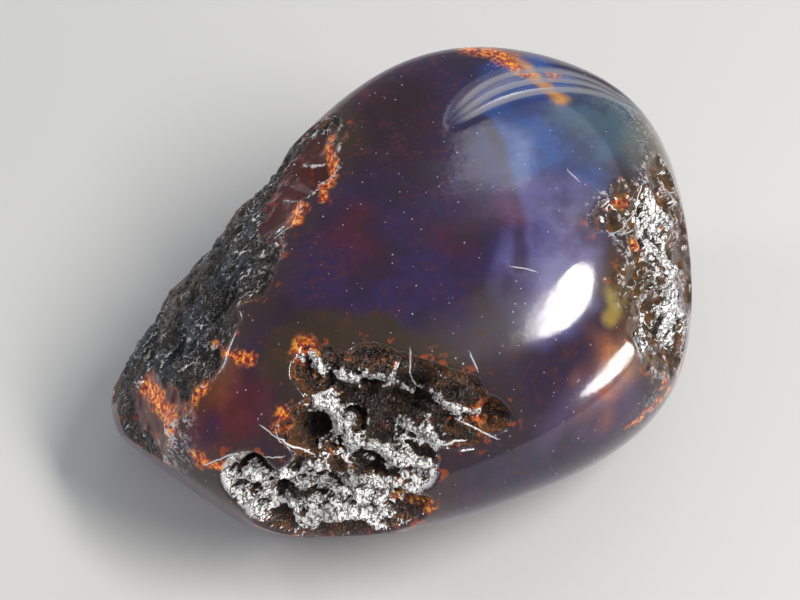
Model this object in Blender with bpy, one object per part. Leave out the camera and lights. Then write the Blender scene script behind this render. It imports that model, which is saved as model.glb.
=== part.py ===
"""A pebble of blue amber: one lump of resin, polished by hand all over but for three patches.

The body is a pebble whose worn faces run softly into one another. Where the polisher
stopped, the surface lies lower and rough: a wrinkled rind down the left of the crown, a broken
hollow in the front and a chipped edge at the right. The lump rests on a small ground flat.

Lengths in the tables are millimetres and angles degrees. A bearing turns from +X and a tilt rises
from the horizon, both seen from the middle of the pebble, so that a bearing and a tilt name one
place on its surface. +X runs along the pebble to its broad end, +Z is up, and the origin is the
centre of its box at the floor.
"""

import math

import bmesh
import bpy
import numpy as np
from mathutils import Vector, noise

MM = 0.001

# Driving dimensions
MIDDLE_ABOVE_FLOOR = 11.1
FACE_BLEND = 7.0  # higher keeps the worn faces flatter and the turns between them tighter
NODE_TRIANGLES = 9400
TWIST_SEED = 7  # keeps the twist of the breaks the same each time

# Each worn face: bearing and tilt of the way it faces, and its distance from the middle
WORN_FACES = {
    "dome": (0, 90, 12.0),
    "base": (0, -90, 11.3),
    "broad end": (0, 24, 27.5),
    "broken end": (-42, 6, 21.3),
    "far end": (30, -15, 23.0),
    "shoulder": (40, 34, 22.8),
    "far side": (105, 22, 16.2),
    "far keel": (75, -25, 12.0),
    "narrow end": (140, 0, 28.0),
    "narrow crown": (-175, 42, 20.5),
    "narrow wall": (-155, 10, 26.5),
    "narrow keel": (-172, -28, 23.5),
    "rind slope": (130, 48, 17.5),
    "front crown": (-110, 46, 15.6),
    "front slope": (-100, 26, 18.5),
    "front keel": (-112, -33.5, 16.6),
    "front foot": (-140, -34.5, 21.2),
    "right keel": (-82, -25, 20.2),
    "right crown": (-40, 48, 21.5),
}

# Flats broken clean off, with crisp edges, given like the worn faces
BROKEN_FLATS = {
    "narrow chip": (-168, -18, 21.4),
    "front chip": (-62, -38, 21.6),
}

# Each rough patch is a chain of overlapping balls on the surface: bearing, tilt and radius
RIND_PATCH = (
    (98, 42, 3.0),
    (113, 43, 3.8),
    (132, 36, 4.6),
    (151, 32, 5.0),
    (161, 21, 5.4),
    (164, 12, 5.0),
    (167, 4, 4.0),
    (149, 1, 5.5),
    (134, 15, 5.0),
    (109, 27, 3.6),
)
HOLLOW_PATCH = (
    (-158, 35, 2.6),
    (-147, 33, 3.6),
    (-134, 30, 3.8),
    (-120, 26, 3.0),
    (-110, 23, 1.7),
    (-153, 24, 3.3),
    (-138, 18, 4.2),
    (-150, 11, 4.0),
    (-164, 9, 3.0),
    (-155, 4, 4.0),
    (-139, 6, 3.8),
    (-146, -9, 3.8),
)
CHIPPED_PATCH = (
    (-24, 23, 2.8),
    (-34, 31, 2.8),
    (-38, 38, 1.6),
    (-42, 26, 3.2),
    (-54, 23, 3.0),
    (-57, 30, 1.8),
    (-60, 18, 2.8),
    (-57, 10, 3.0),
    (-37, 11, 4.2),
    (-29, 15, 3.0),
)
FAR_PATCH = (
    (70, 6, 3.2),
    (58, -3, 2.4),
)
PATCH_LIP = 0.6  # the width of the step down from the polish into a rough patch
PATCH_STEP = 0.35  # the share of the depth that the step takes, and the rest comes more slowly
PATCH_SLOPE = 2.2
DEEPEST = 3.2

# Lines of unbroken resin that stand up in the hollow, as bearings and tilts
CRESTS = (
    ((-166, 37), (-158, 35), (-143, 35), (-125, 32), (-111, 22)),
    ((-164, 26), (-157, 30), (-153, 28), (-149, 23)),
    ((-148, 26), (-145, 21), (-135, 16), (-128, 15)),
    ((-171, 7), (-162, 12), (-152, 16), (-141, 12), (-130, 8)),
)
CREST_RISE = 1.5
CREST_HALF_WIDTH = 0.75

# Holes in the rough patches: bearing, tilt, radius and depth
PITS = (
    (-132, 32, 1.9, 1.7),
    (-137, 23, 1.5, 1.3),
    (-155, 24, 1.5, 1.5),
    (-140, 15, 1.6, 1.6),
    (-160, 8, 1.3, 1.5),
    (-150, 7, 1.4, 1.2),
    (110, 50, 2.3, 1.3),
    (158, 29, 1.8, 1.0),
    (161, 16, 1.5, 0.9),
    (-36, 24, 1.4, 1.0),
    (-57, 19, 1.4, 1.0),
    (-40, 14, 1.8, 1.1),
)

# Shell-shaped grooves by the broad end, as (x, y) seen from above: they share both ends and differ
# in how far they bulge
GROOVE_ENDS = ((6.3, 4.6), (21.6, -2.0))
GROOVE_BULGES = ((16.7, 5.2), (16.5, 3.9), (16.4, 2.6))
GROOVE_DEPTH = 0.28
GROOVE_HALF_WIDTH = 0.38
GROOVE_LOWEST = 4.0  # the grooves are on the crown only


def heading(bearing, tilt):
    """The unit vector at a bearing from +X and a tilt above the horizon, in degrees."""
    bearing, tilt = math.radians(bearing), math.radians(tilt)
    level = math.cos(tilt)
    return (level * math.cos(bearing), level * math.sin(bearing), math.sin(tilt))


def smooth_step(value):
    value = min(1.0, max(0.0, value))
    return value * value * (3.0 - 2.0 * value)


def worn_surface(directions):
    """The points of the polished pebble in the given directions, and which way it faces there."""
    normals = np.array([heading(b, t) for b, t, _ in WORN_FACES.values()])
    distances = np.array([d for _, _, d in WORN_FACES.values()])
    facing = np.maximum(0.0, directions @ normals.T) / distances
    reach = (facing**FACE_BLEND).sum(axis=1) ** (-1.0 / FACE_BLEND)
    outward = (facing ** (FACE_BLEND - 1.0) / distances) @ normals
    outward /= np.linalg.norm(outward, axis=1, keepdims=True)
    for bearing, tilt, distance in BROKEN_FLATS.values():
        facing = np.maximum(1e-6, directions @ np.array(heading(bearing, tilt)))
        reach = np.minimum(reach, distance / facing)
    return directions * reach[:, None], outward


def places(rows):
    """The points of the polished pebble that bearings and tilts name."""
    points, _ = worn_surface(np.array([heading(row[0], row[1]) for row in rows]))
    return [Vector(point) for point in points]


def with_places(rows):
    """Each row with its bearing and tilt replaced by the point that they name."""
    return [(place, *row[2:]) for place, row in zip(places(rows), rows)]


RIND, HOLLOW, CHIPPED, FAR = (
    with_places(patch) for patch in (RIND_PATCH, HOLLOW_PATCH, CHIPPED_PATCH, FAR_PATCH)
)
CREST_LINES = [places(line) for line in CRESTS]
PIT_PLACES = with_places(PITS)


def inside_patch(point, balls):
    """How far a point lies inside a patch's ragged outline, in millimetres, negative outside."""
    depth = max(radius - (point - centre).length for centre, radius in balls)
    if depth < -3.0:
        return depth
    return depth + 0.9 * noise.noise(point / 2.4) + 0.2 * noise.noise(point / 0.9)


def patch_share(point, balls):
    """0 on the polish to 1 well inside a patch: a sharp step at the lip, then a slope."""
    inside = inside_patch(point, balls)
    slope = PATCH_STEP + (1.0 - PATCH_STEP) * smooth_step(inside / PATCH_SLOPE)
    return slope * smooth_step(inside / PATCH_LIP)


def scoops(point, size):
    """Shell-shaped hollows that meet in sharp ridges: 0 on a ridge, towards 1 deep in a hollow."""
    nearest = noise.voronoi(point / size)[0]
    return 1.0 - min(1.0, 1.6 * nearest[0] * nearest[0])


def rind_relief(point):
    """The wrinkled outer skin: folds that run down the slope, and small lumps."""
    along = Vector((point.x / 3.4, point.y / 1.5, point.z / 1.7))
    folds = noise.ridged_multi_fractal(along, 0.9, 2.1, 4, 1.0, 2.0)
    return 1.15 - 0.34 * folds + 0.3 * noise.noise(point / 1.2)


def broken_relief(point):
    """Broken resin: large and small shell-shaped hollows with ridges between them."""
    twisted = point + 0.9 * noise.noise_vector(point / 3.0)
    return 0.3 + 1.25 * scoops(twisted, 3.3) + 0.3 * scoops(twisted, 1.3)


def distance_to_line(point, line):
    """The shortest distance from a point to a line through several points."""
    nearest = 1e9
    for start, end in zip(line, line[1:]):
        step = end - start
        share = (point - start).dot(step) / step.length_squared
        nearest = min(nearest, (point - start - step * min(1.0, max(0.0, share))).length)
    return nearest


def crest_rise(point):
    """How far the crests fill the hollow again at a point."""
    wavy = point + 0.5 * noise.noise_vector(point / 1.6)
    nearest = min(distance_to_line(wavy, line) for line in CREST_LINES)
    return CREST_RISE * math.exp(-((nearest / CREST_HALF_WIDTH) ** 2))


def pit_depth(point):
    depth = 0.0
    for place, radius, deepest in PIT_PLACES:
        away = (point - place).length / radius
        depth = max(depth, deepest * smooth_step(1.3 - away))
    return depth


def circle_through(first, second, third):
    """The centre and radius of the circle through three points of the plane."""
    (ax, ay), (bx, by), (cx, cy) = first, second, third
    twice_area = 2.0 * (ax * (by - cy) + bx * (cy - ay) + cx * (ay - by))
    a, b, c = ax * ax + ay * ay, bx * bx + by * by, cx * cx + cy * cy
    x = (a * (by - cy) + b * (cy - ay) + c * (ay - by)) / twice_area
    y = (a * (cx - bx) + b * (ax - cx) + c * (bx - ax)) / twice_area
    return x, y, math.hypot(ax - x, ay - y)


GROOVES = [circle_through(GROOVE_ENDS[0], bulge, GROOVE_ENDS[1]) for bulge in GROOVE_BULGES]


def groove_depth(point):
    """The shell-shaped grooves, which fade out towards the ends that they share."""
    if point.z < GROOVE_LOWEST:
        return 0.0
    (ax, ay), (bx, by) = GROOVE_ENDS
    chord = Vector((bx - ax, by - ay))
    share = Vector((point.x - ax, point.y - ay)).dot(chord) / chord.length_squared
    side = chord.cross(Vector((point.x - ax, point.y - ay)))
    if not 0.0 < share < 1.0 or side < 0.0:
        return 0.0
    fade = smooth_step(5.0 * share) * smooth_step(5.0 * (1.0 - share))
    depth = 0.0
    for x, y, radius in GROOVES:
        off = math.hypot(point.x - x, point.y - y) - radius
        depth = max(depth, math.exp(-((off / GROOVE_HALF_WIDTH) ** 2)))
    return GROOVE_DEPTH * fade * depth


def sunk(point):
    """How far the surface lies below the worn faces at a point on them."""
    depth = groove_depth(point)
    rind = patch_share(point, RIND)
    hollow = patch_share(point, HOLLOW)
    chipped = patch_share(point, CHIPPED)
    far = patch_share(point, FAR)
    if rind > 0.0 or far > 0.0:
        depth += max(rind, far) * rind_relief(point)
    if hollow > 0.0:
        depth += hollow * max(0.15, 0.9 + broken_relief(point) - crest_rise(point))
    if chipped > 0.0:
        depth += chipped * broken_relief(point)
    rough = max(rind, hollow, chipped)
    if rough > 0.0:
        depth += rough * pit_depth(point)
    return min(depth, DEEPEST)


def is_rough(point):
    if groove_depth(point) > 0.01:
        return True
    return any(inside_patch(point, patch) > -PATCH_LIP for patch in (RIND, HOLLOW, CHIPPED, FAR))


def new_material(name, colour, roughness, transmission):
    material = bpy.data.materials.new(name)
    material.use_nodes = True
    shader = material.node_tree.nodes["Principled BSDF"]
    shader.inputs["Base Color"].default_value = (*colour, 1.0)
    shader.inputs["Roughness"].default_value = roughness
    shader.inputs["Metallic"].default_value = 0.0
    shader.inputs["IOR"].default_value = 1.54
    shader.inputs["Transmission Weight"].default_value = transmission
    return material


def pebble_mesh():
    """A fine ball whose points are moved out to the worn faces and in again where it is rough."""
    mesh = bmesh.new()
    bmesh.ops.create_icosphere(mesh, subdivisions=6, radius=1.0)
    points, _ = worn_surface(np.array([vertex.co for vertex in mesh.verts]))
    for vertex, point in zip(mesh.verts, points):
        vertex.co = point
    rough = [e for e in mesh.edges if all(is_rough(vertex.co) for vertex in e.verts)]
    bmesh.ops.subdivide_edges(mesh, edges=rough, cuts=1, use_grid_fill=True)
    bmesh.ops.triangulate(mesh, faces=mesh.faces)

    points, outwards = worn_surface(np.array([vertex.co.normalized() for vertex in mesh.verts]))
    for vertex, point, outward in zip(mesh.verts, points, outwards):
        point = Vector(point)
        vertex.co = point - Vector(outward) * sunk(point)
    bmesh.ops.scale(mesh, vec=(MM, MM, MM), verts=mesh.verts)
    return mesh


def box_middle(mesh):
    """The middle of the pebble's box, seen from above."""
    xs = [vertex.co.x for vertex in mesh.verts]
    ys = [vertex.co.y for vertex in mesh.verts]
    return (min(xs) + max(xs)) / 2, (min(ys) + max(ys)) / 2


def build():
    for old in list(bpy.data.objects):
        bpy.data.objects.remove(old)
    noise.seed_set(TWIST_SEED)
    parts = bpy.data.collections.new("amber_pebble")
    cutters = bpy.data.collections.new("cutters")
    bpy.context.scene.collection.children.link(parts)
    bpy.context.scene.collection.children.link(cutters)

    mesh = pebble_mesh()
    middle_x, middle_y = box_middle(mesh)
    bmesh.ops.translate(mesh, vec=(-middle_x, -middle_y, MIDDLE_ABOVE_FLOOR * MM), verts=mesh.verts)
    fine_triangles = len(mesh.faces)
    data = bpy.data.meshes.new("amber")
    mesh.to_mesh(data)
    mesh.free()
    data.shade_smooth()
    amber = bpy.data.objects.new("amber", data)
    parts.objects.link(amber)
    amber.data.materials.append(new_material("amber", (0.10, 0.06, 0.16), 0.06, 0.8))

    # The ground flat: everything below the floor is cut away
    bpy.ops.mesh.primitive_cube_add(size=1.0)
    below = bpy.context.object
    below.name = "below_floor"
    below.scale = (0.12, 0.12, 0.04)
    below.location = (0.0, 0.0, -0.02)
    below.display_type = "WIRE"
    below.hide_render = True
    for holder in list(below.users_collection):
        holder.objects.unlink(below)
    cutters.objects.link(below)

    fewer = amber.modifiers.new("fewer_triangles", "DECIMATE")
    fewer.ratio = NODE_TRIANGLES / fine_triangles
    flat = amber.modifiers.new("ground_flat", "BOOLEAN")
    flat.operation = "DIFFERENCE"
    flat.solver = "EXACT"
    flat.object = below


build()
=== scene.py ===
import math

import bmesh
import bpy
import numpy as np
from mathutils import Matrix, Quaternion, Vector, noise


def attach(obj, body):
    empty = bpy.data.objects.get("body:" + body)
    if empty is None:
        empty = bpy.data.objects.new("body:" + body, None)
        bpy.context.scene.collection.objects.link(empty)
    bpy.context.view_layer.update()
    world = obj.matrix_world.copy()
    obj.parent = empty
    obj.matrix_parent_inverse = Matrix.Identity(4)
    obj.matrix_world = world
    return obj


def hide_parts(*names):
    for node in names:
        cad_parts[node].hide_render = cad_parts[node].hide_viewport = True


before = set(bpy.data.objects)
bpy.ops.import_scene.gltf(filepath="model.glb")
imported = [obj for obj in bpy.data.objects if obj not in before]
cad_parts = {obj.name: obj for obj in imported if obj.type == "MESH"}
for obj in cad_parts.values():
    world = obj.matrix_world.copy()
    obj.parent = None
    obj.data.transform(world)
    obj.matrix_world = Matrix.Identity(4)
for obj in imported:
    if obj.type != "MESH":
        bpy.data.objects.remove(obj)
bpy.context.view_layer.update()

# A pebble of blue amber, polished but for a rind at the left, a broken hollow in front and a chipped
# edge at the right. Lengths are millimetres from the middle of the pebble. A bearing turns from +X,
# a tilt rises from the horizon, and the two together name one place on the surface.

mm = 0.001

pebble = {
    "middleAboveFloor": 11.1,
    "faceBlend": 7.0,
    "fineness": 7,  # 7 gives about 140,000 triangles, 6 a quarter of that
    "twistSeed": 7,  # the twists and the drift come out the same in every run
    # name: bearing, tilt, distance from the middle
    "wornFaces": {
        "dome": (0, 90, 12.0),
        "base": (0, -90, 11.3),
        "broad end": (0, 24, 27.5),
        "broken end": (-42, 6, 21.3),
        "far end": (30, -15, 23.0),
        "shoulder": (40, 34, 22.8),
        "far side": (105, 22, 16.2),
        "far keel": (75, -25, 12.0),
        "narrow end": (140, 0, 28.0),
        "narrow crown": (-175, 42, 20.5),
        "narrow wall": (-155, 10, 26.5),
        "narrow keel": (-172, -28, 23.5),
        "rind slope": (130, 48, 17.5),
        "front crown": (-110, 46, 15.6),
        "front slope": (-100, 26, 18.5),
        "front keel": (-112, -33.5, 16.6),
        "front foot": (-140, -34.5, 21.2),
        "right keel": (-82, -25, 20.2),
        "right crown": (-40, 48, 21.5),
    },
    "brokenFlats": {
        "narrow chip": (-168, -18, 21.4),
        "front chip": (-62, -38, 21.6),
    },
    # the material of the rind and the breaks starts this far inside their rims, but not where they are
    # clear, unless frost lies there
    "opaqueInside": 0.25,
    "clearFrom": 0.5,
    "frostedFrom": 0.55,
}

# Discs that make up each rough patch: bearing, tilt, radius
roughPatches = {
    "rind": ((98, 42, 3.0), (113, 43, 3.8), (132, 36, 4.6), (151, 32, 5.0), (161, 21, 5.4),
             (164, 12, 5.0), (167, 4, 4.0), (149, 1, 5.5), (134, 15, 5.0), (109, 27, 3.6)),
    "hollow": ((-158, 35, 2.6), (-147, 33, 3.6), (-134, 30, 3.8), (-120, 26, 3.0), (-110, 23, 1.7),
               (-153, 24, 3.3), (-138, 18, 4.2), (-150, 11, 4.0), (-164, 9, 3.0), (-155, 4, 4.0),
               (-139, 6, 3.8), (-146, -9, 3.8)),
    "chipped": ((-24, 23, 2.8), (-34, 31, 2.8), (-38, 38, 1.6), (-42, 26, 3.2), (-54, 23, 3.0),
                (-57, 30, 1.8), (-60, 18, 2.8), (-57, 10, 3.0), (-37, 11, 4.2), (-29, 15, 3.0)),
    "far": ((70, 6, 3.2), (58, -3, 2.4)),
}

relief = {
    "lip": 0.6,  # width of the step down into a rough patch
    "stepShare": 0.35,
    "slope": 2.2,
    "deepest": 3.2,
    "rimReach": 3.0,
    "rimWaves": ((0.9, 2.4), (0.2, 0.9)),  # height and length
    "rindDepth": 1.25,
    "rindFolds": (0.42, (3.4, 1.5, 1.7)),  # height, and length along each axis
    "rindFineFolds": (0.10, 3.1),  # height, and how much finer
    "rindWaves": ((0.3, 1.2), (0.10, 0.35)),
    "clearDepth": 1.1,
    "breakDepth": 0.5,
    "breakScoops": (0.8, 3.3),
    "breakChips": ((1.3, 2.4), (0.6, 0.9)),
    "breakTwist": (0.9, 3.0),
    "crestTwist": (0.5, 1.6),
    "paintTwist": (0.5, 0.9),
    "breakLayers": (0.22, 1.5, 3.0),  # height, length, layers in it
    "breakCrumbs": (0.20, 0.5),
    "breakGrain": (0.12, 0.22),
    "hollowDepth": 0.9,
    "crests": (
        ((-166, 37), (-158, 35), (-143, 35), (-125, 32), (-111, 22)),
        ((-164, 26), (-157, 30), (-153, 28), (-149, 23)),
        ((-148, 26), (-145, 21), (-135, 16), (-128, 15)),
        ((-171, 7), (-162, 12), (-152, 16), (-141, 12), (-130, 8)),
    ),
    "crestRise": 1.5,
    "crestHalfWidth": 0.55,
    "crestGaps": (1.6, 1.4),
    # bearing, tilt, radius, depth
    "pits": (
        (-132, 32, 1.9, 1.7), (-137, 23, 1.5, 1.3), (-155, 24, 1.5, 1.5), (-140, 15, 1.6, 1.6),
        (-160, 8, 1.3, 1.5), (-150, 7, 1.4, 1.2), (110, 50, 2.3, 1.3), (158, 29, 1.8, 1.0),
        (161, 16, 1.5, 0.9), (-36, 24, 1.4, 1.0), (-57, 19, 1.4, 1.0), (-40, 14, 1.8, 1.1),
    ),
    "grooveEnds": ((6.3, 4.6), (21.6, -2.0)),
    "grooveBulges": ((16.7, 5.2), (16.5, 3.9), (16.4, 2.6)),
    "grooveDepth": 0.28,
    "grooveHalfWidth": 0.38,
    "grooveLowest": 4.0,
    "grooveFade": 5.0,
}

# Strokes of each look: half width, then the bearing and tilt of the points along the stroke
paint = {
    "frost": (
        (1.5, (-153, 28), (-149, 24), (-144, 19), (-138, 17), (-129, 13)),
        (2.1, (-171, 6), (-167, 10), (-156, 11), (-147, 10), (-139, 8)),
        (1.7, (-164, 2), (-150, 0), (-140, 0)),
        (1.2, (-132, 23), (-127, 21)),
        (0.5, (-166, 36), (-153, 36), (-137, 36), (-127, 31), (-117, 24)),
        (0.45, (-173, 28)),
        (0.8, (143, 47), (150, 50)),
        (0.22, (118, 63), (131, 62), (145, 63), (159, 63)),
        (1.6, (-30, 28), (-36, 25), (-43, 20), (-50, 15), (-54, 9)),
        (0.6, (-37, 31), (-43, 27), (-50, 24)),
        (1.1, (-57, 22), (-62, 19), (-66, 18)),
    ),
    "fire": (
        (0.9, (-166, 37)), (0.7, (-163, 24)), (0.8, (-112, 24)), (0.7, (-130, 14)),
        (0.8, (-136, 9), (-133, 6), (-129, 4)),
        (0.4, (90, 44), (95, 48), (103, 54), (115, 57), (126, 58)), (0.6, (133, 51), (140, 50)),
        (0.8, (163, 6), (169, 8), (176, 9)), (0.4, (176, 14), (178, 20)), (0.4, (-177, 8), (-170, 10)),
        (0.3, (171, 26), (176, 27), (-177, 30)), (0.6, (-43, 31)), (0.6, (-64, 5)),
        (0.3, (-76, 1), (-70, 2), (-64, 0), (-59, -1), (-55, 1)),
        (0.8, (37, 31), (31, 31), (26, 33)), (0.5, (26, 33), (20, 35)), (0.5, (14, 32)),
        (0.35, (-33, 37), (-31, 35)),
    ),
    # painted shade in the deep holes of the breaks and the rind
    "dark": (
        (2.0, (-142, 30), (-130, 30)), (1.1, (-157, 24)), (1.5, (-141, 25)), (0.9, (-148, 14), (-143, 13)),
        (0.9, (-158, 4), (-154, 5)), (1.6, (158, 28)), (0.7, (-57, 19)),
    ),
    "clear": (
        (3.4, (101, 48), (118, 48), (132, 50)), (2.6, (166, 5), (174, 8)),
        (6.0, (-24, 23), (-38, 30), (-45, 22), (-57, 26), (-60, 14), (-37, 11)),
    ),
    "hair": (
        (0.3, (-134, 43), (-132, 38), (-129, 34)), (0.3, (-112, 40), (-111, 36)),
        (0.3, (-166, 21), (-158, 19), (-154, 18)), (0.3, (-174, 8), (-170, 13), (-160, 17)),
        (0.3, (-117, 22), (-110, 17)), (0.3, (-27, 31), (-32, 31), (-37, 34)), (0.3, (-44, 36), (-40, 33)),
        (0.3, (-25, 24), (-22, 17)), (0.3, (-20, 22), (-27, 20)), (0.3, (-133, 20), (-118, 18)),
        (0.3, (-74, 55), (-71, 52), (-70, 50)), (0.3, (-45, 38), (-40, 35)), (0.3, (-24, 44), (-20, 45)),
    ),
}

# The blue and violet haze inside the resin, laid over each other in this order. Its blue on the lit right
# side and its wine red on the far left side are painted by how the light falls, and some zones below are
# painted reflections, glows and shade
haze = {
    "bodyColour": (0.012, 0.005, 0.036),
    "softRim": 3.5,
    "drift": ((2.4, 5.0), (1.2, 1.9)),
    # name: radius, core, amount, colour, then the bearing and tilt of the points along it
    "zones": {
        "violet crown": (13.0, 3.0, 0.9, (0.014, 0.008, 0.070), (-130, 75)),
        "blue veil": (9.0, 2.0, 0.8, (0.008, 0.024, 0.120), (8, 43), (-30, 50)),
        # a band of painted sky reflection over the blue glow, with a painted dark edge at its left
        "blue glow and painted sky reflection by the broad end": (4.6, 3.3, 1.0, (0.012, 0.078, 0.290), (16, 37), (-9, 45), (-28, 47)),
        "lilac glow and painted sky reflection in the middle": (4.3, 2.9, 0.95, (0.090, 0.084, 0.260), (-40, 49), (-60, 48), (-76, 45)),
        "pale painted sky reflection by the slope": (3.4, 0.6, 0.75, (0.27, 0.26, 0.45), (-50, 45), (-70, 44)),
        "dark edge of the painted sky reflection": (0.75, 0.2, 0.7, (0.008, 0.005, 0.024), (20, 50), (-5, 57), (-41, 59), (-73, 53)),
        "teal broad rim": (6.0, 2.5, 0.9, (0.050, 0.115, 0.160), (-6, 31)),
        "pale broad rim": (3.6, 1.0, 0.8, (0.160, 0.210, 0.190), (-16, 28)),
        "olive rim": (6.0, 2.0, 0.9, (0.090, 0.092, 0.045), (-14, 15)),
        "wine far crown": (9.0, 2.0, 0.9, (0.012, 0.003, 0.010), (75, 50)),
        "magenta by the rind": (4.5, 0.5, 0.9, (0.048, 0.001, 0.012), (165, 65)),
        "red mid crown": (3.4, 0.3, 0.7, (0.050, 0.003, 0.030), (-75, 76)),
        "red near crown": (2.4, 0.3, 0.6, (0.150, 0.020, 0.070), (-41, 62)),
        "grey front slope": (4.5, 1.0, 0.8, (0.046, 0.040, 0.046), (-98, 47)),
        "olive arch": (1.4, 0.3, 0.6, (0.034, 0.044, 0.026), (-171, 29), (-169, 38), (-163, 45), (-148, 50),
                       (-127, 45), (-117, 34)),
        "olive above the hollow": (4.0, 2.4, 0.85, (0.022, 0.015, 0.004), (-165, 36), (-148, 42), (-129, 36)),
        "wine narrow end": (5.0, 1.5, 0.9, (0.110, 0.006, 0.014), (-177, 20)),
        "amber by the rind foot": (3.2, 0.5, 0.9, (0.260, 0.055, 0.005), (177, 24)),
        "red by the rind foot": (2.8, 0.5, 0.8, (0.160, 0.008, 0.002), (172, 12)),
        "violet narrow core": (1.8, 0.2, 0.8, (0.050, 0.008, 0.080), (-176, 16)),
        # painted shade on the undercut foot of the narrow end
        "painted shade on the narrow foot": (8.0, 3.0, 0.9, (0.004, 0.002, 0.003), (-179, -6)),
        "blue front foot": (8.0, 2.5, 0.9, (0.006, 0.012, 0.050), (-103, 8)),
        "violet front end": (5.0, 1.5, 0.8, (0.080, 0.052, 0.130), (-84, 12)),
        # painted glow where light comes through the front end, by the low highlight
        "orange painted glow of light through the front end": (3.4, 0.6, 0.9, (0.60, 0.20, 0.06), (-74, 22)),
        "brown by the chips": (4.5, 1.0, 0.8, (0.120, 0.062, 0.014), (-52, 30)),
        # streaks of painted reflected light on the front end
        "orange streak of painted reflected light": (1.5, 0.1, 0.75, (0.45, 0.12, 0.03), (-80, 14)),
        "foot of the orange painted reflected light": (1.7, 0.1, 0.7, (0.36, 0.10, 0.04), (-82, 8)),
        "pink streak of painted reflected light": (1.3, 0.1, 0.5, (0.30, 0.10, 0.08), (-86, 12)),
        # painted glow where light comes through under the slope
        "orange painted glow of light under the slope": (3.5, 0.5, 0.7, (0.300, 0.075, 0.012), (-62, 22)),
        "yellow leaf by the slope": (1.7, 0.6, 0.8, (0.90, 0.70, 0.16), (-60, 31)),
        "yellow leaf tail": (1.1, 0.3, 0.7, (0.75, 0.50, 0.08), (-66, 30)),
        "gold streak": (0.9, 0.2, 0.85, (0.80, 0.36, 0.03), (27, 32), (21, 33), (14, 35), (6, 36)),
        "peach cloud": (1.5, 0.3, 0.8, (0.60, 0.26, 0.08), (-32, 36)),
        "fire at the far rim": (2.6, 0.3, 0.5, (0.30, 0.09, 0.02), (28, 31)),
    },
}


def heading(bearing, tilt):
    bearing, tilt = math.radians(bearing), math.radians(tilt)
    level = math.cos(tilt)
    return (level * math.cos(bearing), level * math.sin(bearing), math.sin(tilt))


def smoothStep(value):
    return np.clip(value, 0.0, 1.0) ** 2 * (3.0 - 2.0 * np.clip(value, 0.0, 1.0))


# Points of the polished pebble in the given directions, and which way it faces there
def wornSurface(directions):
    faces = list(pebble["wornFaces"].values())
    normals = np.array([heading(b, t) for b, t, _ in faces])
    distances = np.array([d for _, _, d in faces])
    blend = pebble["faceBlend"]
    facing = np.maximum(0.0, directions @ normals.T) / distances
    reach = (facing**blend).sum(axis=1) ** (-1.0 / blend)
    outward = (facing ** (blend - 1.0) / distances) @ normals
    outward /= np.linalg.norm(outward, axis=1, keepdims=True)
    for bearing, tilt, distance in pebble["brokenFlats"].values():
        facing = np.maximum(1e-6, directions @ np.array(heading(bearing, tilt)))
        reach = np.minimum(reach, distance / facing)
    return directions * reach[:, None], outward


def places(rows):
    points, _ = wornSurface(np.array([heading(row[0], row[1]) for row in rows]))
    return points


def wave(point, height, length):
    return height * noise.noise(point / length)


def swirl(point, height, length):
    return height * noise.noise_vector(point / length)


# How far each point lies inside a patch's ragged outline, negative outside
def insidePatch(points, name):
    rows = roughPatches[name]
    depth = np.full(len(points), -1e3)
    for centre, row in zip(places(rows), rows):
        depth = np.maximum(depth, row[2] - np.linalg.norm(points - centre, axis=1))
    for i in np.nonzero(depth > -relief["rimReach"])[0]:
        point = Vector(points[i])
        depth[i] += sum(wave(point, *size) for size in relief["rimWaves"])
    return depth


def patchShare(inside):
    slope = relief["stepShare"] + (1.0 - relief["stepShare"]) * smoothStep(inside / relief["slope"])
    return slope * smoothStep(inside / relief["lip"])


def scoops(point, height, size):
    nearest = noise.voronoi(point / size)[0]
    return height * (1.0 - min(1.0, 1.6 * nearest[0] * nearest[0]))


# Flat chips that lean each their own way
def chips(point, height, size):
    middleOfChip = noise.voronoi(point / size)[1][0]
    lean = noise.noise_vector(middleOfChip * 5.7)
    return height * ((point / size - middleOfChip).dot(lean) + 0.4 * noise.noise(middleOfChip * 3.1))


def rindRelief(point):
    foldHeight, foldSize = relief["rindFolds"]
    fineHeight, finer = relief["rindFineFolds"]
    along = Vector(value / size for value, size in zip(point, foldSize))
    folds = noise.ridged_multi_fractal(along, 0.9, 2.1, 4, 1.0, 2.0)
    fineFolds = noise.ridged_multi_fractal(along * finer, 0.8, 2.2, 3, 1.0, 2.0)
    depth = relief["rindDepth"] - foldHeight * folds - fineHeight * fineFolds
    return depth + sum(wave(point, *size) for size in relief["rindWaves"])


def brokenRelief(point):
    twisted = point + swirl(point, *relief["breakTwist"])
    leaning = sum(chips(twisted, *size) for size in relief["breakChips"])
    return relief["breakDepth"] + scoops(twisted, *relief["breakScoops"]) + leaning


# Thin broken layers and grains in the breaks
def brokenGrain(point):
    twisted = point + swirl(point, *relief["breakTwist"])
    height, length, count = relief["breakLayers"]
    steps = noise.fractal(twisted / length, 0.8, 2.0, 3) * count
    ledge = height * (steps - math.floor(steps)) ** 3
    return ledge + scoops(twisted, *relief["breakCrumbs"]) + wave(point, *relief["breakGrain"])


def circleThrough(first, second, third):
    (ax, ay), (bx, by), (cx, cy) = first, second, third
    twiceArea = 2.0 * (ax * (by - cy) + bx * (cy - ay) + cx * (ay - by))
    a, b, c = ax * ax + ay * ay, bx * bx + by * by, cx * cx + cy * cy
    x = (a * (by - cy) + b * (cy - ay) + c * (ay - by)) / twiceArea
    y = (a * (cx - bx) + b * (ax - cx) + c * (bx - ax)) / twiceArea
    return x, y, math.hypot(ax - x, ay - y)


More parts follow.
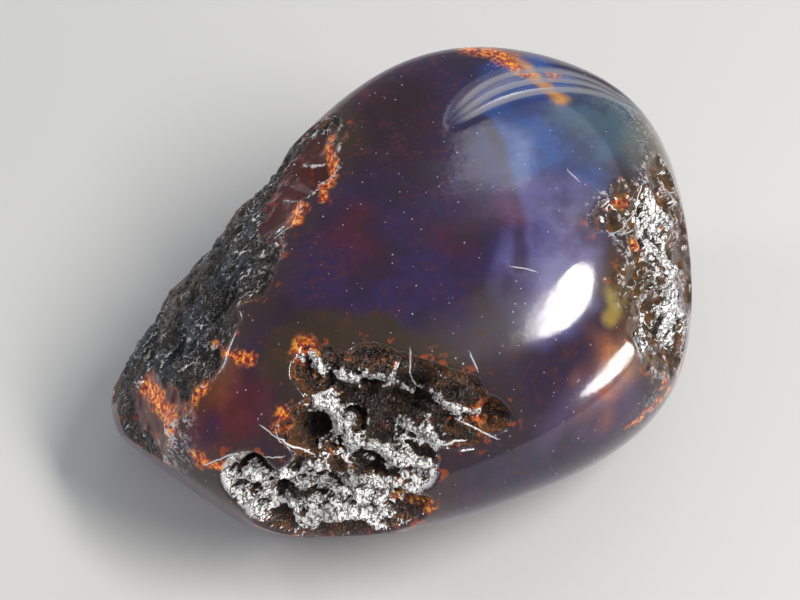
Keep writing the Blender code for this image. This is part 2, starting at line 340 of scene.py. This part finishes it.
# 1 along the middle of each shell-shaped groove, fading out towards its ends, and the band between two
def grooveShare(points):
    (ax, ay), (bx, by) = relief["grooveEnds"]
    chord = np.array((bx - ax, by - ay))
    offset = points[:, :2] - (ax, ay)
    share = offset @ chord / (chord @ chord)
    side = chord[0] * offset[:, 1] - chord[1] * offset[:, 0]
    fade = smoothStep(relief["grooveFade"] * share) * smoothStep(relief["grooveFade"] * (1.0 - share))
    fade[(side < 0.0) | (points[:, 2] < relief["grooveLowest"])] = 0.0
    depth, offs = np.zeros(len(points)), []
    for bulge in relief["grooveBulges"]:
        x, y, radius = circleThrough(relief["grooveEnds"][0], bulge, relief["grooveEnds"][1])
        offs.append(np.hypot(points[:, 0] - x, points[:, 1] - y) - radius)
        depth = np.maximum(depth, np.exp(-((offs[-1] / relief["grooveHalfWidth"]) ** 2)))
    return fade * depth, fade * (offs[0] * offs[1] < 0.0)


# Each run of a stroke through bearings and tilts, with the points' shortest way from it and their distance
def strokeRuns(points, stroke):
    ends = places(stroke if len(stroke) > 1 else stroke * 2)
    for start, end in zip(ends, ends[1:]):
        run = end - start
        share = np.clip((points - start) @ run / max(run @ run, 1e-9), 0.0, 1.0)
        offset = points - start - share[:, None] * run
        yield run, offset, np.linalg.norm(offset, axis=1)


def awayFrom(points, stroke):
    return np.minimum.reduce([away for _, _, away in strokeRuns(points, stroke)])


# Distance to the nearest stroke, negative at its right, so that a hair's line is crisp on a coarse mesh
def sideOf(points, strokes):
    nearest, side = np.full(len(points), 1e3), np.zeros(len(points))
    for _, *stroke in strokes:
        for run, offset, away in strokeRuns(points, stroke):
            sign = np.sign((np.cross(run, offset) * points).sum(axis=1))
            side = np.where(away < nearest, sign * away, side)
            nearest = np.minimum(nearest, away)
    return side


# How strongly the strokes of one look cover each point, from 0 to 1
def painted(points, strokes):
    cover = np.zeros(len(points))
    for halfWidth, *stroke in strokes:
        cover = np.maximum(cover, np.clip(1.5 - awayFrom(points, stroke) / halfWidth, 0.0, 1.0))
    return cover


# The softer a zone's rim is, the more it drifts
def hazeColours(points):
    coarse, fine = haze["drift"]
    drift = np.array([swirl(Vector(p), *coarse) + swirl(Vector(p), *fine) for p in points])
    colours = np.tile(haze["bodyColour"], (len(points), 1))
    for radius, core, amount, colour, *stroke in haze["zones"].values():
        share = min(1.0, (radius - core) / haze["softRim"])
        away = awayFrom(points + share * drift, stroke)
        mask = amount * smoothStep((radius - away) / (radius - core))[:, None]
        colours += mask * (np.array(colour) - colours)
    return colours


def twistedPoints(points, name):
    return points + np.array([swirl(Vector(p), *relief[name]) for p in points])


# How far the splintered crests rise out of the hollow
def crestRises(points):
    twisted = twistedPoints(points, "crestTwist")
    nearest = np.minimum.reduce([awayFrom(twisted, line) for line in relief["crests"]])
    rises = relief["crestRise"] * np.exp(-((nearest / relief["crestHalfWidth"]) ** 2))
    return rises * np.clip([0.8 + wave(Vector(p), *relief["crestGaps"]) for p in points], 0.2, 1.0)


# What kind of surface each point is on, by attribute name
def surfaceKinds(points, inside, share):
    groove, shell = grooveShare(points)
    kinds = {
        "edge": np.maximum.reduce(list(inside.values())),
        "rind": np.maximum(share["rind"], share["far"]),
        "groove": groove,
        "shell": shell,
    }
    wavy = twistedPoints(points, "paintTwist")
    for name, strokes in paint.items():
        kinds[name] = painted(points if name == "hair" else wavy, strokes)
    kinds["hairSide"] = sideOf(points, paint["hair"])
    return kinds


# How far the surface lies below the worn faces at each point
def reliefOf(points, kinds, share):
    depths = relief["grooveDepth"] * kinds["groove"]
    pits = [(Vector(p), row[2], row[3]) for p, row in zip(places(relief["pits"]), relief["pits"])]
    rough = np.maximum.reduce(list(share.values()))
    inHollow = share["hollow"] > 0.0
    rises = np.zeros(len(points))
    rises[inHollow] = crestRises(points[inHollow])
    for i in np.nonzero(rough > 0.0)[0]:
        point = Vector(points[i])
        rind, hollow, chipped = kinds["rind"][i], share["hollow"][i], share["chipped"][i]
        depth, grainy = depths[i], 1.0 - kinds["clear"][i]
        if rind > 0.0:
            depth += rind * (grainy * rindRelief(point) + (1.0 - grainy) * relief["clearDepth"])
        if hollow > 0.0:
            broken = relief["hollowDepth"] + brokenRelief(point) + brokenGrain(point)
            depth += hollow * max(0.15, broken - rises[i])
        if chipped > 0.0:
            depth += chipped * (brokenRelief(point) + kinds["frost"][i] * brokenGrain(point))
        deepest = 0.0
        for place, radius, most in pits:
            deepest = max(deepest, most * smoothStep(1.3 - (point - place).length / radius))
        depths[i] = min(depth + rough[i] * deepest, relief["deepest"])
    return depths


# An even ball of directions, finer where the surface is rough, grooved or has a hair on it
def finerBall():
    mesh = bmesh.new()
    bmesh.ops.create_icosphere(mesh, subdivisions=pebble["fineness"], radius=1.0)
    mesh.verts.ensure_lookup_table()
    points, _ = wornSurface(np.array([vertex.co for vertex in mesh.verts]))
    edge = np.maximum.reduce([insidePatch(points, name) for name in roughPatches])
    fine = (edge > -relief["lip"]) | (grooveShare(points)[0] > 0.03)
    fine |= painted(points, paint["hair"]) > 0.0
    rough = [e for e in mesh.edges if all(fine[vertex.index] for vertex in e.verts)]
    bmesh.ops.subdivide_edges(mesh, edges=rough, cuts=1, use_grid_fill=True)
    bmesh.ops.triangulate(mesh, faces=mesh.faces)
    return mesh


# How far each vertex stands out of the smoothed surface around it, in millimetres
def ridgesAndPits(mesh, rounds=10):
    points = np.array([vertex.co for vertex in mesh.verts])
    normals = np.array([vertex.normal for vertex in mesh.verts])
    ends = np.array([[vertex.index for vertex in e.verts] for e in mesh.edges])
    count = np.bincount(ends.ravel(), minlength=len(points))[:, None]
    smooth = points.copy()
    for _ in range(rounds):
        total = np.zeros_like(smooth)
        np.add.at(total, ends[:, 0], smooth[ends[:, 1]])
        np.add.at(total, ends[:, 1], smooth[ends[:, 0]])
        smooth = total / count
    return ((points - smooth) * normals).sum(axis=1)


def pebbleMesh():
    mesh = finerBall()
    points, outwards = wornSurface(np.array([vertex.co.normalized() for vertex in mesh.verts]))
    inside = {name: insidePatch(points, name) for name in roughPatches}
    share = {name: patchShare(depth) for name, depth in inside.items()}
    kinds, colours = surfaceKinds(points, inside, share), hazeColours(points)
    points -= outwards * reliefOf(points, kinds, share)[:, None]
    points[:, 2] = np.maximum(points[:, 2], -pebble["middleAboveFloor"])  # the ground flat
    for vertex, point in zip(mesh.verts, points):
        vertex.co = point
    mesh.normal_update()
    mesh.verts.index_update()
    kinds["ridge"] = ridgesAndPits(mesh)
    return mesh, kinds, colours


# The pebble on the floor, and where the middle that the bearings turn about comes to lie
def pebbleObject():
    mesh, kinds, colours = pebbleMesh()
    corners = np.array([vertex.co for vertex in mesh.verts])
    centre = (corners.min(axis=0) + corners.max(axis=0)) / 2
    middle = Vector((-centre[0], -centre[1], pebble["middleAboveFloor"]))
    bmesh.ops.translate(mesh, vec=middle, verts=mesh.verts)
    bmesh.ops.scale(mesh, vec=(mm, mm, mm), verts=mesh.verts)
    opaque = (kinds["clear"] < pebble["clearFrom"]) | (kinds["frost"] > pebble["frostedFrom"])
    opaque &= kinds["edge"] > pebble["opaqueInside"]
    for face in mesh.faces:
        face.material_index = int(sum(opaque[vertex.index] for vertex in face.verts) > 1)
        face.smooth = True
    data = bpy.data.meshes.new("amber_pebble")
    mesh.to_mesh(data)
    mesh.free()
    for name, values in kinds.items():
        data.attributes.new(name, "FLOAT", "POINT").data.foreach_set("value", values.astype(np.float32))
    colours = np.hstack([colours, np.ones((len(colours), 1))]).astype(np.float32)
    data.attributes.new("haze", "FLOAT_COLOR", "POINT").data.foreach_set("color", colours.ravel())
    amber = bpy.data.objects.new("amber_pebble", data)
    bpy.context.scene.collection.objects.link(amber)
    print("triangles:", len(data.polygons))
    return amber, middle


print("stage: pebble mesh")
noise.seed_set(pebble["twistSeed"])
amber, middle = pebbleObject()


def addNode(tree, kind, inputs=None, **settings):
    node = tree.nodes.new(kind)
    for name, value in settings.items():
        setattr(node, name, value)
    for key, value in (inputs or {}).items():
        if isinstance(value, bpy.types.NodeSocket):
            tree.links.new(value, node.inputs[key])
        else:
            node.inputs[key].default_value = value
    return node


def mixColour(tree, factor, first, second, blend="MIX"):
    inputs = {0: factor, 6: first, 7: second}
    for index in (6, 7):
        if not isinstance(inputs[index], bpy.types.NodeSocket):
            inputs[index] = (*inputs[index], 1.0)
    return addNode(tree, "ShaderNodeMix", inputs, data_type="RGBA", blend_type=blend).outputs[2]


def calc(tree, operation, first, second=0.0):
    return addNode(tree, "ShaderNodeMath", {0: first, 1: second}, operation=operation).outputs[0]


def vectorCalc(tree, operation, first, second):
    return addNode(tree, "ShaderNodeVectorMath", {0: first, 1: second}, operation=operation).outputs[0]


def product(tree, first, *others):
    for other in others:
        first = calc(tree, "MULTIPLY", first, other)
    return first


def largest(tree, first, *others):
    for other in others:
        first = calc(tree, "MAXIMUM", first, other)
    return first


def ramp(tree, value, fromMin, fromMax, toMin=0.0, toMax=1.0):
    inputs = {"Value": value, "From Min": fromMin, "From Max": fromMax, "To Min": toMin, "To Max": toMax}
    return addNode(tree, "ShaderNodeMapRange", inputs, interpolation_type="SMOOTHSTEP").outputs["Result"]


def cloud(tree, place, scale, detail, roughness):
    inputs = {"Vector": place, "Scale": scale, "Detail": detail, "Roughness": roughness}
    return addNode(tree, "ShaderNodeTexNoise", inputs).outputs["Fac"]


def attribute(tree, name):
    return addNode(tree, "ShaderNodeAttribute", attribute_name=name).outputs["Fac"]


def newGroup(name, inputs, outputs):
    group = bpy.data.node_groups.new(name, "ShaderNodeTree")
    for socketName, kind in inputs.items():
        group.interface.new_socket(socketName, in_out="INPUT", socket_type="NodeSocket" + kind)
    for socketName, kind in outputs.items():
        group.interface.new_socket(socketName, in_out="OUTPUT", socket_type="NodeSocket" + kind)
    entry = addNode(group, "NodeGroupInput").outputs
    leave = addNode(group, "NodeGroupOutput").inputs
    return group, entry, leave


def useGroup(tree, group, inputs):
    return addNode(tree, "ShaderNodeGroup", inputs, node_tree=group).outputs


# Round specks scattered over a part of the cells
def dustGroup():
    inputs = {"Place": "Vector", "Spacing": "Float", "Size": "Float", "Share": "Float"}
    group, entry, leave = newGroup("dust specks", inputs, {"Mask": "Float"})
    scale = calc(group, "DIVIDE", 1.0, entry["Spacing"])
    cells = addNode(group, "ShaderNodeTexVoronoi", {"Vector": entry["Place"], "Scale": scale})
    pick = addNode(group, "ShaderNodeSeparateColor", {0: cells.outputs["Color"]}).outputs
    kept = calc(group, "LESS_THAN", pick[0], entry["Share"])
    wide = product(group, entry["Size"], calc(group, "ADD", 0.4, pick[1]), scale)
    spot = ramp(group, cells.outputs["Distance"], wide, product(group, wide, 0.5))
    group.links.new(product(group, spot, kept), leave["Mask"])
    return group


# A thin pale line along each hair's stroke
def lintGroup():
    inputs = {"Side": "Float", "Near": "Float", "Half Width": "Float"}
    group, entry, leave = newGroup("lint line", inputs, {"Mask": "Float"})
    away = calc(group, "DIVIDE", calc(group, "ABSOLUTE", entry["Side"]), entry["Half Width"])
    line = product(group, ramp(group, away, 1.3, 0.7), ramp(group, entry["Near"], 0.3, 0.6))
    group.links.new(line, leave["Mask"])
    return group


# Red to golden sparks where light comes through thin broken edges
def emberGroup():
    inputs = {"Place": "Vector", "Scale": "Float", "Ember": "Color", "Fire": "Color", "Gold": "Color"}
    group, entry, leave = newGroup("ember sparks", inputs, {"Color": "Color", "Mask": "Float"})
    flicker = cloud(group, entry["Place"], entry["Scale"], 3.0, 0.7)
    colour = mixColour(group, ramp(group, flicker, 0.44, 0.54), entry["Ember"], entry["Fire"])
    colour = mixColour(group, ramp(group, flicker, 0.53, 0.62), colour, entry["Gold"])
    group.links.new(colour, leave["Color"])
    group.links.new(ramp(group, flicker, 0.30, 0.46), leave["Mask"])
    return group


print("stage: materials")
dustSpecks, lintLine, emberSparks = dustGroup(), lintGroup(), emberGroup()

# What both materials share
sharedLook = {
    "refraction": 1.54,
    "lintHalfWidth": 0.05,
    "emberColours": {"Ember": (0.20, 0.010, 0.002), "Fire": (0.80, 0.13, 0.008), "Gold": (0.95, 0.50, 0.06)},
}


# Places in the material are millimetres from the middle, as in the mesh
def pebblePlace(tree):
    spot = addNode(tree, "ShaderNodeTexCoord").outputs["Object"]
    place = addNode(tree, "ShaderNodeVectorMath", {0: spot, "Scale": 1.0 / mm}, operation="SCALE").outputs[0]
    return vectorCalc(tree, "SUBTRACT", place, tuple(middle))


def lintOn(tree):
    inputs = {"Side": attribute(tree, "hairSide"), "Near": attribute(tree, "hair")}
    return useGroup(tree, lintLine, {**inputs, "Half Width": sharedLook["lintHalfWidth"]})["Mask"]


def embersOn(tree, place, scale):
    colours = {name: (*colour, 1.0) for name, colour in sharedLook["emberColours"].items()}
    return useGroup(tree, emberSparks, {"Place": place, "Scale": scale, **colours})


# Noises are scale a millimetre, detail and roughness
amberLook = {
    "transmission": 0.92,
    "absorptionColour": (0.86, 0.34, 0.02),
    "absorptionPerMetre": 640.0,
    "glow": 0.85,  # the blue fluorescence, as light of its own
    "hazyCoat": 0.14,  # fine scratches spread each highlight
    "coatRoughness": 0.33,
    "veils": (0.28, 3.0, 0.65),
    "veilTint": (0.36, 0.26, 0.38),
    "mottles": (1.3, 3.0, 0.72),
    "mottleColour": (0.070, 0.014, 0.012),
    "oliveColour": (0.030, 0.020, 0.006),
    "breaks": (1.3, 2.0, 0.6),
    "emberScale": 2.6,
    "deepColour": (0.045, 0.003, 0.001),
    "chipColour": (0.130, 0.062, 0.012),
    "chipShade": (0.030, 0.024, 0.008),
    "fineDust": {"Spacing": 0.5, "Size": 0.055, "Share": 0.5},
    "bigDust": {"Spacing": 1.7, "Size": 0.09, "Share": 0.45},
    "scratches": {"Spacing": 0.8, "Size": 0.045, "Share": 0.14},
    "scratchTurn": (0.0, 0.3, 0.7),
    "scratchStretch": (0.08, 1.0, 1.0),
    "crumbs": (3.6, 2.0, 0.8),
    "dustColour": (0.75, 0.76, 0.80),
    "grooveGlow": (0.25, 0.25, 0.27),
    "dustGlow": (0.50, 0.50, 0.52),
    "bodyTint": (0.85, 0.34, 0.26),
    "bodyTintShare": 0.14,
    "grain": (2.2, 1.0, 0.6),
    "grainStrength": 0.15,
    "grainHeight": 0.00002,
}


def newMaterial(name):
    material = bpy.data.materials.new(name)
    material.use_nodes = True
    material.node_tree.nodes.clear()
    return material, material.node_tree


def amberMaterial():
    look = amberLook
    material, tree = newMaterial("polished amber")
    place = pebblePlace(tree)
    colour = addNode(tree, "ShaderNodeAttribute", attribute_name="haze").outputs["Color"]

    # Smoky veils, and red-brown mottles like fine plant dust inside the resin
    veils = cloud(tree, place, *look["veils"])
    colour = mixColour(tree, ramp(tree, veils, 0.42, 0.68, 0.0, 0.8), colour, look["veilTint"], "MULTIPLY")
    blueness = addNode(tree, "ShaderNodeSeparateColor", {0: colour}).outputs[2]
    mottles = ramp(tree, cloud(tree, place, *look["mottles"]), 0.48, 0.70)
    betweenVeils, onDark = ramp(tree, veils, 0.62, 0.44), ramp(tree, blueness, 0.10, 0.03, 0.15, 0.8)
    mottles = product(tree, mottles, betweenVeils, onDark)
    colour = mixColour(tree, mottles, colour, look["mottleColour"])

    # Olive close to the rough patches, red-brown in clear breaks, and fire where light comes through edges
    edge, clear = attribute(tree, "edge"), attribute(tree, "clear")
    colour = mixColour(tree, ramp(tree, edge, -2.4, -0.3, 0.0, 0.5), colour, look["oliveColour"])
    broken, embers = cloud(tree, place, *look["breaks"]), embersOn(tree, place, look["emberScale"])
    spots = product(tree, ramp(tree, edge, -1.0, 0.0), ramp(tree, broken, 0.57, 0.64), 0.3)
    colour = mixColour(tree, spots, colour, sharedLook["emberColours"]["Fire"])
    chipColour = mixColour(tree, ramp(tree, broken, 0.42, 0.58), look["chipShade"], look["chipColour"])
    inRind = ramp(tree, attribute(tree, "rind"), 0.1, 0.4)
    deepColour = mixColour(tree, inRind, chipColour, look["deepColour"])
    deep = product(tree, clear, ramp(tree, edge, -0.4, 0.5, 0.0, 0.8))
    colour = mixColour(tree, deep, colour, deepColour)
    flame = product(tree, attribute(tree, "fire"), embers["Mask"])
    colour = mixColour(tree, flame, colour, embers["Color"])

    # Dust, lint and fine scratches on the polish
    fineDust = useGroup(tree, dustSpecks, {"Place": place, **look["fineDust"]})["Mask"]
    fineDust = product(tree, fineDust, ramp(tree, veils, 0.34, 0.56, 0.2, 0.9))
    bigDust = useGroup(tree, dustSpecks, {"Place": place, **look["bigDust"]})["Mask"]
    inputs = {"Vector": place, "Rotation": look["scratchTurn"], "Scale": look["scratchStretch"]}
    along = addNode(tree, "ShaderNodeMapping", inputs).outputs[0]
    scratches = product(tree, useGroup(tree, dustSpecks, {"Place": along, **look["scratches"]})["Mask"], 0.6)
    dust = largest(tree, fineDust, bigDust, scratches, lintOn(tree))

    # Powder in the breaks, bright splinter lines along their ridges that are partly painted glints, and
    # frosted grooves
    crumbs = cloud(tree, place, *look["crumbs"])
    powder = calc(tree, "ADD", attribute(tree, "frost"), product(tree, crumbs, 1.6))
    powder = product(tree, ramp(tree, powder, 1.52, 1.66), ramp(tree, edge, 0.0, 0.3))
    splintersAndGlints = product(tree, clear, ramp(tree, attribute(tree, "ridge"), 0.05, 0.10),
                        ramp(tree, broken, 0.42, 0.56), ramp(tree, crumbs, 0.46, 0.56))
    white = largest(tree, dust, powder, splintersAndGlints)
    shell = product(tree, attribute(tree, "shell"), ramp(tree, veils, 0.3, 0.6, 0.1, 0.4))
    grooved = largest(tree, ramp(tree, attribute(tree, "groove"), 0.15, 0.9, 0.0, 0.7), shell)
    frost = largest(tree, white, grooved)
    glow = mixColour(tree, frost, colour, look["grooveGlow"])
    glow = mixColour(tree, white, glow, look["dustGlow"])
    tint = mixColour(tree, look["bodyTintShare"], colour, look["bodyTint"])
    tint = mixColour(tree, frost, tint, look["dustColour"])

    rough = ramp(tree, veils, 0.4, 0.7, 0.08, 0.16)
    rough = largest(tree, rough, product(tree, frost, 0.6), ramp(tree, edge, -0.4, 0.2, 0.0, 0.16))
    bump = addNode(tree, "ShaderNodeBump", {
        "Strength": look["grainStrength"], "Distance": look["grainHeight"],
        "Height": cloud(tree, place, *look["grain"])}).outputs[0]
    shader = addNode(tree, "ShaderNodeBsdfPrincipled", {
        "Base Color": tint, "Roughness": rough, "Metallic": 0.0, "IOR": sharedLook["refraction"],
        "Transmission Weight": look["transmission"], "Normal": bump, "Emission Color": glow,
        "Emission Strength": look["glow"], "Coat Weight": look["hazyCoat"],
        "Coat Roughness": look["coatRoughness"]})
    inside = addNode(tree, "ShaderNodeVolumeAbsorption", {
        "Color": (*look["absorptionColour"], 1.0), "Density": look["absorptionPerMetre"]})
    output = addNode(tree, "ShaderNodeOutputMaterial")
    tree.links.new(shader.outputs[0], output.inputs["Surface"])
    tree.links.new(inside.outputs[0], output.inputs["Volume"])
    return material


crustLook = {
    "scattered": 0.28,  # light that the white powder passes on
    # dark of random spots, and the painted shade in hollows and deep holes
    "darkSpotAndShadeColour": (0.010, 0.006, 0.004),
    "rindColour": (0.030, 0.022, 0.018),
    # painted glints on the rind's curls
    "coldRindColour": (0.040, 0.047, 0.060),
    "paintedGlintColour": (0.80, 0.79, 0.80),
    "warmColour": (0.13, 0.045, 0.012),
    "brokenColour": (0.110, 0.046, 0.015),
    "dustColour": (0.97, 0.96, 0.95),
    "gapColour": (0.03, 0.026, 0.022),
    "mottle": (0.9, 4.0, 0.7),
    "sparks": (1.1, 3.0, 0.7),
    "emberScale": 2.0,
    "stretch": (0.6, 1.4, 1.2),
    "folds": (1.9, 3.0, 0.6),
    "curls": (1.25, 2.5, 0.55),
    "sheets": (0.42, 2.0, 0.6),
    "grainScale": 4.2,
    "crackScale": 1.25,
    "bumpStrength": 0.9,
    "bumpHeight": 0.00025,
}


def crustMaterial():
    look = crustLook
    material, tree = newMaterial("rind and breaks")
    place = pebblePlace(tree)
    ridge, rind, edge = attribute(tree, "ridge"), attribute(tree, "rind"), attribute(tree, "edge")
    dark, embers = attribute(tree, "dark"), embersOn(tree, place, look["emberScale"])

    # Dark rind, bluish at its middle and browner towards the polish, and brown resin where it is broken
    bluish = mixColour(tree, ramp(tree, edge, 2.0, 4.0), look["rindColour"], look["coldRindColour"])
    base = mixColour(tree, ramp(tree, rind, 0.1, 0.5), look["brokenColour"], bluish)
    mottle = cloud(tree, place, *look["mottle"])
    base = mixColour(tree, ramp(tree, mottle, 0.42, 0.60, 0.0, 0.9), base, look["darkSpotAndShadeColour"])
    warm = product(tree, ramp(tree, edge, 1.6, 0.2), ramp(tree, mottle, 0.56, 0.44), 0.7)
    base = mixColour(tree, warm, base, look["warmColour"])
    sparks = ramp(tree, cloud(tree, place, *look["sparks"]), 0.62, 0.68)
    sparks = product(tree, sparks, ramp(tree, rind, 0.5, 0.1))
    flame = product(tree, largest(tree, attribute(tree, "fire"), sparks), embers["Mask"])
    base = mixColour(tree, flame, base, embers["Color"])

    # Painted silver glints along the curls of the rind
    stretched = vectorCalc(tree, "MULTIPLY", place, look["stretch"])
    curls, sheets = cloud(tree, stretched, *look["curls"]), cloud(tree, stretched, *look["sheets"])
    wrinklesAndGlints = ramp(tree, calc(tree, "ABSOLUTE", calc(tree, "SUBTRACT", curls, 0.50)), 0.030, 0.012)
    wrinklesAndGlints = product(tree, wrinklesAndGlints, ramp(tree, mottle, 0.42, 0.56, 0.05, 1.0),
                       ramp(tree, sheets, 0.42, 0.56, 0.12, 1.0), ramp(tree, rind, 0.1, 0.5, 0.12, 0.95))
    base = mixColour(tree, wrinklesAndGlints, base, look["paintedGlintColour"])

    # White crushed grains in the breaks, with dark gaps and cracks between them
    folds = cloud(tree, stretched, *look["folds"])
    jagged = vectorCalc(tree, "ADD", place, folds)
    grains = addNode(tree, "ShaderNodeTexVoronoi", {
        "Vector": jagged, "Scale": look["grainScale"]}, distance="MANHATTAN").outputs
    cracks = addNode(tree, "ShaderNodeTexVoronoi", {
        "Vector": jagged, "Scale": look["crackScale"]}, feature="DISTANCE_TO_EDGE").outputs["Distance"]
    shade = addNode(tree, "ShaderNodeSeparateColor", {0: grains["Color"]}).outputs[0]
    gaps = ramp(tree, grains["Distance"], 1.10, 0.70, 0.08, 1.0)
    gaps = product(tree, gaps, ramp(tree, cracks, 0.03, 0.09, 0.15, 1.0))
    bright = product(tree, calc(tree, "ADD", product(tree, shade, 0.6), 0.75), gaps)
    powder = calc(tree, "ADD", attribute(tree, "frost"), product(tree, folds, 2.8))
    # the powder climbs the crests, partly a painted highlight where they stand into the light, and is less in
    # the rind and in the painted shade of deep holes
    powder = calc(tree, "ADD", powder, product(tree, ridge, 3.0))
    powder = calc(tree, "SUBTRACT", powder, product(tree, calc(tree, "ADD", dark, rind), 0.5))
    powder = ramp(tree, powder, 2.00, 2.14)
    powderColour = mixColour(tree, bright, look["gapColour"], look["dustColour"])
    scattered = mixColour(tree, product(tree, powder, bright), (0.0, 0.0, 0.0), look["dustColour"])
    base = mixColour(tree, powder, base, powderColour)

    # Painted shade in the hollows and deep holes, and lint over all
    base = mixColour(tree, ramp(tree, ridge, 0.0, -0.14, 0.0, 0.9), base, look["darkSpotAndShadeColour"])
    base = mixColour(tree, product(tree, dark, 0.8), base, look["darkSpotAndShadeColour"])
    base = mixColour(tree, lintOn(tree), base, look["dustColour"])

    height = calc(tree, "SUBTRACT", folds, product(tree, grains["Distance"], 0.6))
    height = calc(tree, "ADD", height, product(tree, wrinklesAndGlints, 0.3))
    bump = addNode(tree, "ShaderNodeBump", {
        "Strength": look["bumpStrength"], "Distance": look["bumpHeight"], "Height": height}).outputs[0]
    rough = largest(tree, ramp(tree, mottle, 0.35, 0.7, 0.12, 0.40), product(tree, powder, 0.38))
    shader = addNode(tree, "ShaderNodeBsdfPrincipled", {
        "Base Color": base, "Roughness": rough, "Metallic": 0.0, "IOR": sharedLook["refraction"],
        "Normal": bump, "Emission Color": scattered, "Emission Strength": look["scattered"]})
    output = addNode(tree, "ShaderNodeOutputMaterial")
    tree.links.new(shader.outputs[0], output.inputs["Surface"])
    return material


amber.data.materials.append(amberMaterial())
amber.data.materials.append(crustMaterial())
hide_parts("amber")
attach(amber, "root")

print("stage: floor, lights and camera")
studio = {
    "floorColour": (0.62, 0.62, 0.61),
    "skyColour": (0.92, 0.95, 1.0),
    "skyStrength": 0.36,
    "viewAzimuth": -40.0,
    "viewElevation": 55.0,
    "viewDistance": 0.171,
    "lookAt": (-1.5, 0.515),  # millimetres to the right of the middle and above it
    "lens": 100.0,
    # name: shape, bearing, tilt, turn, distance, width, height, radiance, colour
    "lights": {
        "key": ("ELLIPSE", -61, 54, 40, 0.36, 0.26, 0.065, 24.0, (1.0, 0.97, 0.93)),
        "low strip": ("ELLIPSE", -70, 6, 0, 0.30, 0.13, 0.045, 18.0, (1.0, 0.96, 0.90)),
        "sky panel": ("RECTANGLE", 20, 47, 0, 0.60, 0.28, 0.26, 0.9, (0.86, 0.90, 1.0)),
        "rim": ("RECTANGLE", 128, 24, 0, 0.50, 0.16, 0.12, 9.0, (0.95, 0.97, 1.0)),
        "window": ("RECTANGLE", 42, 50, 0, 0.58, 0.06, 0.07, 3.0, (0.90, 0.92, 1.0)),
    },
}


def makeFloor():
    bpy.ops.mesh.primitive_plane_add(size=3.0, location=(0.0, 0.0, -0.0001))
    floor = bpy.context.object
    floor.name = "floor"
    material = bpy.data.materials.new("pale floor")
    material.use_nodes = True
    tree = material.node_tree
    shader = tree.nodes["Principled BSDF"]
    spot = addNode(tree, "ShaderNodeTexCoord").outputs["Object"]
    shade = ramp(tree, cloud(tree, spot, 6.0, 4.0, 0.5), 0.3, 0.7, 0.96, 1.0)
    colour = mixColour(tree, 1.0, studio["floorColour"], shade, "MULTIPLY")
    tree.links.new(colour, shader.inputs["Base Color"])
    shader.inputs["Roughness"].default_value = 0.7
    floor.data.materials.append(material)


def makeLights():
    target = middle * mm
    for name, row in studio["lights"].items():
        shape, bearing, tilt, turn, distance, width, height, radiance, colour = row
        light = bpy.data.lights.new(name, "AREA")
        light.shape = shape
        light.size, light.size_y = width, height
        light.energy = radiance * math.pi * width * height
        light.color = colour
        lamp = bpy.data.objects.new(name, light)
        bpy.context.scene.collection.objects.link(lamp)
        direction = Vector(heading(bearing, tilt))
        lamp.location = target + direction * distance
        facing = direction.to_track_quat("Z", "Y") @ Quaternion((0.0, 0.0, 1.0), math.radians(turn))
        lamp.rotation_euler = facing.to_euler()
    world = bpy.data.worlds.new("studio")
    world.use_nodes = True
    sky = world.node_tree.nodes["Background"]
    sky.inputs["Color"].default_value = (*studio["skyColour"], 1.0)
    sky.inputs["Strength"].default_value = studio["skyStrength"]
    bpy.context.scene.world = world


def makeCamera():
    back = Vector(heading(studio["viewAzimuth"] - 90.0, studio["viewElevation"]))
    right = Vector(heading(studio["viewAzimuth"], 0.0))
    up = back.cross(right)
    target = (middle + studio["lookAt"][0] * right + studio["lookAt"][1] * up) * mm
    view = bpy.data.cameras.new("camera")
    view.lens = studio["lens"]
    view.sensor_width = 36.0
    view.clip_start = 0.01
    camera = bpy.data.objects.new("camera", view)
    bpy.context.scene.collection.objects.link(camera)
    camera.location = target + back * studio["viewDistance"]
    camera.rotation_euler = back.to_track_quat("Z", "Y").to_euler()
    bpy.context.scene.camera = camera


makeFloor()
makeLights()
makeCamera()
bpy.context.scene.view_settings.view_transform = "Standard"
